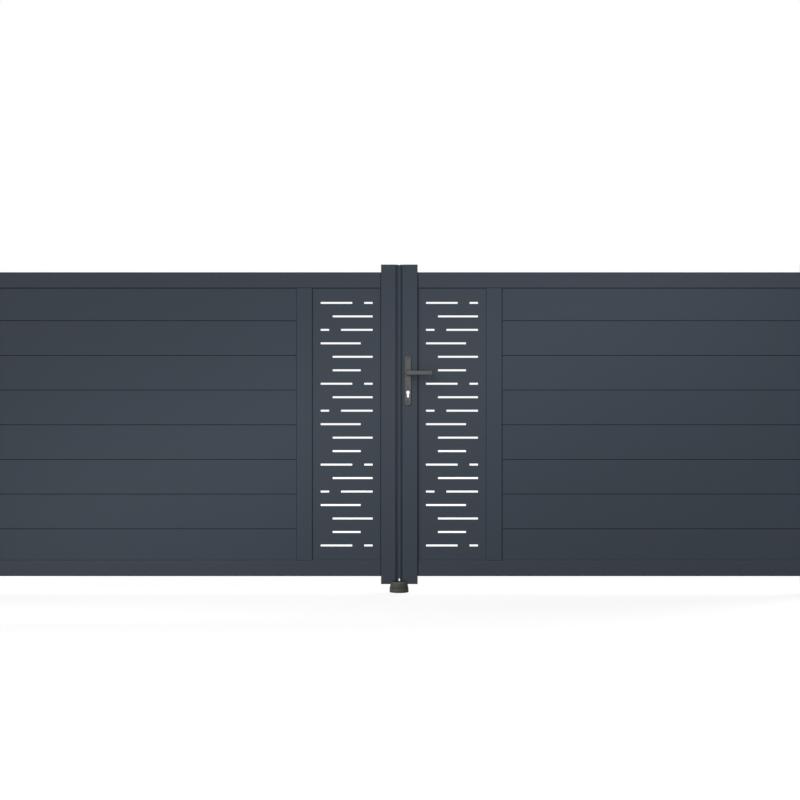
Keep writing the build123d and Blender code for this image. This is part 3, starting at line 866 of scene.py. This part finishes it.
def strap_screws(side_name):
    """Domed screws that hold each eye's strap to the hinge stile."""
    side = SIDES[side_name]
    inner_end = end_of(f"{side_name}_hinge_eyes", "x", -side)
    strap_back = STILE_BACK + STRAP_THICKNESS
    bm = bmesh.new()
    for height in hinge_heights(side_name):
        for inset in STRAP_SCREW_INSETS:
            for lift in (-STRAP_SCREW_LIFT, STRAP_SCREW_LIFT):
                at = (inner_end + side * inset, strap_back, height + lift)
                socket_screw(bm, aim(at, (0, 1, 0)), *STRAP_SCREW)
    add_piece(f"{side_name}_strap_screws", bm, "lock_steel", f"{side_name}_leaf")


def pin_nuts(side_name):
    """A domed nut on top of each pin, with thin washers over and under each eye."""
    pins = middle(f"{side_name}_hinge_pins")
    dome = arc((0, PIN_DOME_START), PIN_DOME_RADIUS, 0, 90, 9)[:-1]
    bm = bmesh.new()
    for height in hinge_heights(side_name):
        eye = aim((pins.x, pins.y, height), (0, 0, 1))
        nut = raised(eye, HINGE_EYE_HALF + PIN_NUT_START)
        hex_head(bm, nut, *PIN_NUT)
        turn(bm, nut, [
            (0, PIN_DOME_START), (PIN_DOME_FOOT_RADIUS, PIN_DOME_START), *dome,
            (0, PIN_DOME_START + PIN_DOME_RADIUS),
        ], segments=36)
        for foot, thickness in (LOWER_WASHER, UPPER_WASHER):
            washer(bm, raised(eye, foot), PIN_WASHER_RADIUS, PIN_WASHER_BORE, thickness)
    add_piece(f"{side_name}_pin_nuts", bm, "lock_steel", "posts")


# Posts' feet

ANCHOR_OFFSET = 80 * MM
ANCHOR_WASHER = (12 * MM, 6.2 * MM, 2.5 * MM)  # outer and inner radius, thickness
ANCHOR_NUT = (19 * MM, 10 * MM)  # across flats, height
STUD_START = 0.5 * MM  # over the ground
STUD_RADIUS = 6 * MM
THREAD_ROOT_RADIUS = 5.25 * MM
THREAD_PITCH = 1.75 * MM
THREAD_RIDGES = 18


def stud_profile():
    """A threaded stud's turned shape, in (radius, height)."""
    profile = [(0, 0), (5.4 * MM, 0)]
    for ridge in range(THREAD_RIDGES):
        root = ridge * THREAD_PITCH + 0.3 * MM
        profile += [(THREAD_ROOT_RADIUS, root), (STUD_RADIUS, (ridge + 0.5) * THREAD_PITCH)]
    top = THREAD_RIDGES * THREAD_PITCH + 0.6 * MM
    return profile + [(5 * MM, top), (0, top)]


def anchor_bolts(side_name):
    """Threaded studs with nuts and washers in the base plate's holes."""
    node = f"{side_name}_base_plate"
    centre = middle(node).x
    profile = stud_profile()
    bm = bmesh.new()
    for x in (centre - ANCHOR_OFFSET, centre + ANCHOR_OFFSET):
        for y in (-ANCHOR_OFFSET, ANCHOR_OFFSET):
            turn(bm, Matrix.Translation((x, y, STUD_START)), profile, segments=24)
            place = Matrix.Translation((x, y, high(node).z))
            washer(bm, place, *ANCHOR_WASHER)
            hex_head(bm, raised(place, ANCHOR_WASHER[2]), *ANCHOR_NUT)
    add_piece(f"{side_name}_anchor_bolts", bm, "lock_steel", "posts")


POST_CORNER = 6 * MM
WELD_LEG = 5 * MM
WELD_SINK = 0.3 * MM  # into the post
WELD_HOLLOW = 0.9  # radius of the hollow, of the leg
WELD_RIPPLE = 3.4 * MM  # from one ripple to the next
WELD_TROUGH = 0.92  # of the leg, between ripples
WELD_SWELL = 0.1  # of the leg, added on a ripple
STEPS_A_RIPPLE = 6


def weld_section(leg):
    """A hollow fillet weld's cut face, in (outward, up) from the post's foot."""
    radius = WELD_HOLLOW * leg
    hollow = [
        (radius * (1 - math.cos(math.radians(angle))), radius * (1 - math.sin(math.radians(angle))))
        for angle in (8, 27, 45, 63, 82)
    ]
    return [(-WELD_SINK, 0), (-WELD_SINK, leg), *hollow, (leg, 0)]


def foot_weld(side_name):
    """The rippled weld between a post and its base plate."""
    post = f"{side_name}_post"
    centre = middle(post)
    plate_top = high(f"{side_name}_base_plate").z
    half = (high(post).x - low(post).x) / 2
    straight = 2 * (half - POST_CORNER)
    quarter = straight + math.pi / 2 * POST_CORNER  # one side with its corner
    steps = round(quarter / (WELD_RIPPLE / STEPS_A_RIPPLE))
    bm = bmesh.new()
    rings = []
    for corner in range(4):
        spin = Matrix.Rotation(corner * math.pi / 2, 4, "Z")
        place = Matrix.Translation((centre.x, centre.y, plate_top)) @ spin
        for step in range(steps):
            run = step * quarter / steps
            angle = max(0.0, run - straight) / POST_CORNER
            at = Vector((
                half - POST_CORNER + POST_CORNER * math.cos(angle),
                min(run, straight) - straight / 2 + POST_CORNER * math.sin(angle),
                0,
            ))
            outward = Vector((math.cos(angle), math.sin(angle), 0))
            travelled = corner * quarter + run
            ripple = abs(math.sin(math.pi * travelled / WELD_RIPPLE))
            leg = WELD_LEG * (WELD_TROUGH + WELD_SWELL * ripple)
            rings.append([
                bm.verts.new(place @ (at + outward * out + Vector((0, 0, up))))
                for out, up in weld_section(leg)
            ])
    bridge_all(bm, rings + rings[:1])
    add_piece(f"{side_name}_foot_weld", bm, "coated_metal", "posts", sharp=60)


# Frame fixings

PLUG_Y = 9 * MM  # to both sides of the rail's middle
PLUG_PROFILE = [
    (0, -0.5 * MM), (6 * MM, -0.5 * MM), (6 * MM, 0.3 * MM), (5.2 * MM, 0.9 * MM), (0, 1.2 * MM),
]


def frame_plugs(side_name):
    """Cover plugs over the screws that run through the stiles into the rails."""
    side = SIDES[side_name]
    hinge_edge = end_of(f"{side_name}_hinge_stile", "x", side)
    lip_edge = end_of(f"{side_name}_meeting_stile", "x", -side)
    bm = bmesh.new()
    for rail in ("bottom_rail", "top_rail"):
        z = middle(f"{side_name}_{rail}").z
        for edge, facing in ((hinge_edge, side), (lip_edge, -side)):
            for y in (-PLUG_Y, PLUG_Y):
                turn(bm, aim((edge, y, z), (facing, 0, 0)), PLUG_PROFILE, segments=28)
    add_piece(f"{side_name}_frame_plugs", bm, "cap_plastic", f"{side_name}_leaf")


# Painted shade lines at the joints of the frame and its infill

# Widths of the painted shade lines.
STILE_BEAD = 2.5 * MM
INFILL_BEAD = 1.4 * MM
BUTT_BEAD = 0.35 * MM
SLAT_BEAD = 0.85 * MM
RAIL_BEAD_INSET = 1 * MM  # from the rail's edges
SLAT_COUNT = 8
SLAT_PITCH = 165 * MM
SLAT_GAP = 1 * MM


def bead(bm, start, end, reach):
    """A round bead along a line, sunk where the line lies in a corner, carrying a line of painted
    shade.
    """
    start, end = Vector(start), Vector(end)
    length = (end - start).length
    profile = [(0, 0), (reach, 0), (reach, length), (0, length)]
    turn(bm, aim(start, end - start), profile, segments=12)


def joint_shade_lines(side_name):
    """Near-black lines of painted shade where rails, mullion, slats and panel meet the frame, on
    both faces, standing for the shade in those gaps.
    """
    side = SIDES[side_name]
    mullion, slats, seals = (f"{side_name}_{part}" for part in ("mullion", "slats", "seals"))
    rails = [f"{side_name}_bottom_rail", f"{side_name}_top_rail"]
    stile = end_of(f"{side_name}_meeting_stile", "x", side)
    hinge = end_of(f"{side_name}_hinge_stile", "x", -side)
    field = (high(rails[0]).z, low(rails[1]).z)
    mullion_edges = (low(mullion).x, high(mullion).x)
    slat_side = end_of(mullion, "x", side)
    seal_edge = end_of(seals, "x", side)
    bm = bmesh.new()
    for facing in FACINGS.values():
        infill = facing * high(slats).y
        frame_face = facing * high(mullion).y
        for edges, reach in (((stile, hinge), STILE_BEAD), (mullion_edges, INFILL_BEAD)):
            for x in edges:
                bead(bm, (x, infill, field[0]), (x, infill, field[1]), reach)
        for z in field:
            bead(bm, (stile, infill, z), (hinge, infill, z), INFILL_BEAD)
            butt_start, butt_end = ((x, frame_face, z) for x in mullion_edges)
            bead(bm, butt_start, butt_end, BUTT_BEAD)
        for rail in rails:
            bottom, top = low(rail).z + RAIL_BEAD_INSET, high(rail).z - RAIL_BEAD_INSET
            for x in (stile, hinge):
                bead(bm, (x, frame_face, bottom), (x, frame_face, top), STILE_BEAD)
        groove = infill - facing * SLAT_BEAD
        for count in range(1, SLAT_COUNT):
            z = low(slats).z + count * SLAT_PITCH - SLAT_GAP / 2
            bead(bm, (slat_side, groove, z), (hinge, groove, z), SLAT_BEAD)
        # A painted shade line in the recess beside each seal's foot.
        lip = facing * (high(seals).y - SEAL_HEIGHT)
        bead(bm, (seal_edge, lip, low(seals).z), (seal_edge, lip, high(seals).z), INFILL_BEAD)
    add_piece(f"{side_name}_joint_shade_lines", bm, "painted_shade", f"{side_name}_leaf")


def make_pieces():
    for where in FACINGS:
        lock_plate(where)
        lever(where)
        neck_collar(where)
    edge_plate_screws("faceplate_screws", "lock_faceplate", "right_leaf", -1)
    edge_plate_screws("strike_screws", "strike_plate", "left_leaf", 1)
    for side_name in SIDES:
        seal(side_name)
        bracket_bolts(side_name)
        strap_screws(side_name)
        pin_nuts(side_name)
        anchor_bolts(side_name)
        foot_weld(side_name)
        frame_plugs(side_name)
        joint_shade_lines(side_name)
    ground_stop()


# Studio

WHITE = (1, 1, 1, 1)
FILL_LIGHT = 0.25
FLOOR_SIZE = 60
FLOOR_GREY = (0.3, 0.3, 0.3, 1)
FLOOR_GLOW = 0.7  # only what the camera sees of it
FRONT_KEY = 2.2
BACK_KEY = 3.0
KEY_AZIMUTH = 40  # degrees to the left of straight on
KEY_HEIGHT = 33  # degrees above level
SOFTNESS = 50  # degrees across each key lamp
STRIP_SIZE = (4.5, 0.4)
STRIP_WATTS = 10.4
STRIP_PLACE = Vector((GATE_CENTRE - 0.05, -1.12, 0.97))
STRIP_AIM = Vector((GATE_CENTRE, 0, 0.9))
STRIP_LEAN = 20  # degrees, its right end up


def seen_by_eye_or_gloss(tree):
    """1 for the rays that show the background, 0 for the rays that light the gate."""
    path = tree.nodes.new("ShaderNodeLightPath")
    mirrored = math_node(
        tree, "MAXIMUM", path.outputs["Is Glossy Ray"], path.outputs["Is Transmission Ray"]
    )
    return math_node(tree, "MAXIMUM", path.outputs["Is Camera Ray"], mirrored)


def make_world():
    """A background that is white to the camera and weaker as a fill light."""
    world = bpy.data.worlds.new("studio")
    bpy.context.scene.world = world
    world.use_nodes = True
    tree = world.node_tree
    seen = seen_by_eye_or_gloss(tree)
    strength = math_node(
        tree, "ADD", math_node(tree, "MULTIPLY", seen, 1.0 - FILL_LIGHT), FILL_LIGHT
    )
    background = tree.nodes["Background"]
    background.inputs["Color"].default_value = WHITE
    tree.links.new(strength, background.inputs["Strength"])


def make_floor():
    """A pale floor that keeps the gate's shadow and looks white to the camera."""
    bpy.ops.mesh.primitive_plane_add(size=FLOOR_SIZE, location=(GATE_CENTRE, 0, 0))
    floor = bpy.context.object
    floor.name = "floor"
    material = bpy.data.materials.new("pale_floor")
    material.use_nodes = True
    tree = material.node_tree
    shader = tree.nodes["Principled BSDF"]
    shader.inputs["Base Color"].default_value = FLOOR_GREY
    shader.inputs["Roughness"].default_value = 0.9
    shader.inputs["Emission Color"].default_value = WHITE
    light_path = tree.nodes.new("ShaderNodeLightPath")
    glow = math_node(tree, "MULTIPLY", light_path.outputs["Is Camera Ray"], FLOOR_GLOW)
    tree.links.new(glow, shader.inputs["Emission Strength"])
    floor.data.materials.append(material)


def add_lamp(name, kind, strength):
    lamp = bpy.data.objects.new(name, bpy.data.lights.new(name, kind))
    lamp.data.energy = strength
    bpy.context.scene.collection.objects.link(lamp)
    return lamp


def add_key_lamp(name, strength, azimuth, height):
    """A broad lamp far off; azimuth is turned from straight on to the outer side."""
    lamp = add_lamp(name, "SUN", strength)
    lamp.data.angle = math.radians(SOFTNESS)
    turned_by, tilt = math.radians(azimuth), math.radians(height)
    toward_lamp = Vector((
        -math.sin(turned_by) * math.cos(tilt),
        -math.cos(turned_by) * math.cos(tilt),
        math.sin(tilt),
    ))
    lamp.rotation_euler = (-toward_lamp).to_track_quat("-Z", "Y").to_euler()


def add_strip_lamp():
    """A long leaning softbox before the leaves; the light falls off away from it."""
    lamp = add_lamp("front_strip", "AREA", STRIP_WATTS)
    lamp.data.shape = "RECTANGLE"
    lamp.data.size, lamp.data.size_y = STRIP_SIZE
    lamp.location = STRIP_PLACE
    aimed = (STRIP_AIM - STRIP_PLACE).to_track_quat("-Z", "Y").to_matrix()
    lean = Matrix.Rotation(math.radians(STRIP_LEAN), 3, "Z")
    lamp.rotation_euler = (aimed @ lean).to_euler()


def make_lamps():
    add_key_lamp("front_key", FRONT_KEY, KEY_AZIMUTH, KEY_HEIGHT)
    add_key_lamp("back_key", BACK_KEY, KEY_AZIMUTH + 180, KEY_HEIGHT)
    add_strip_lamp()


make_camera()
dress_cad_nodes()
make_pieces()
make_world()
make_floor()
make_lamps()
bpy.context.scene.view_settings.view_transform = "Standard"
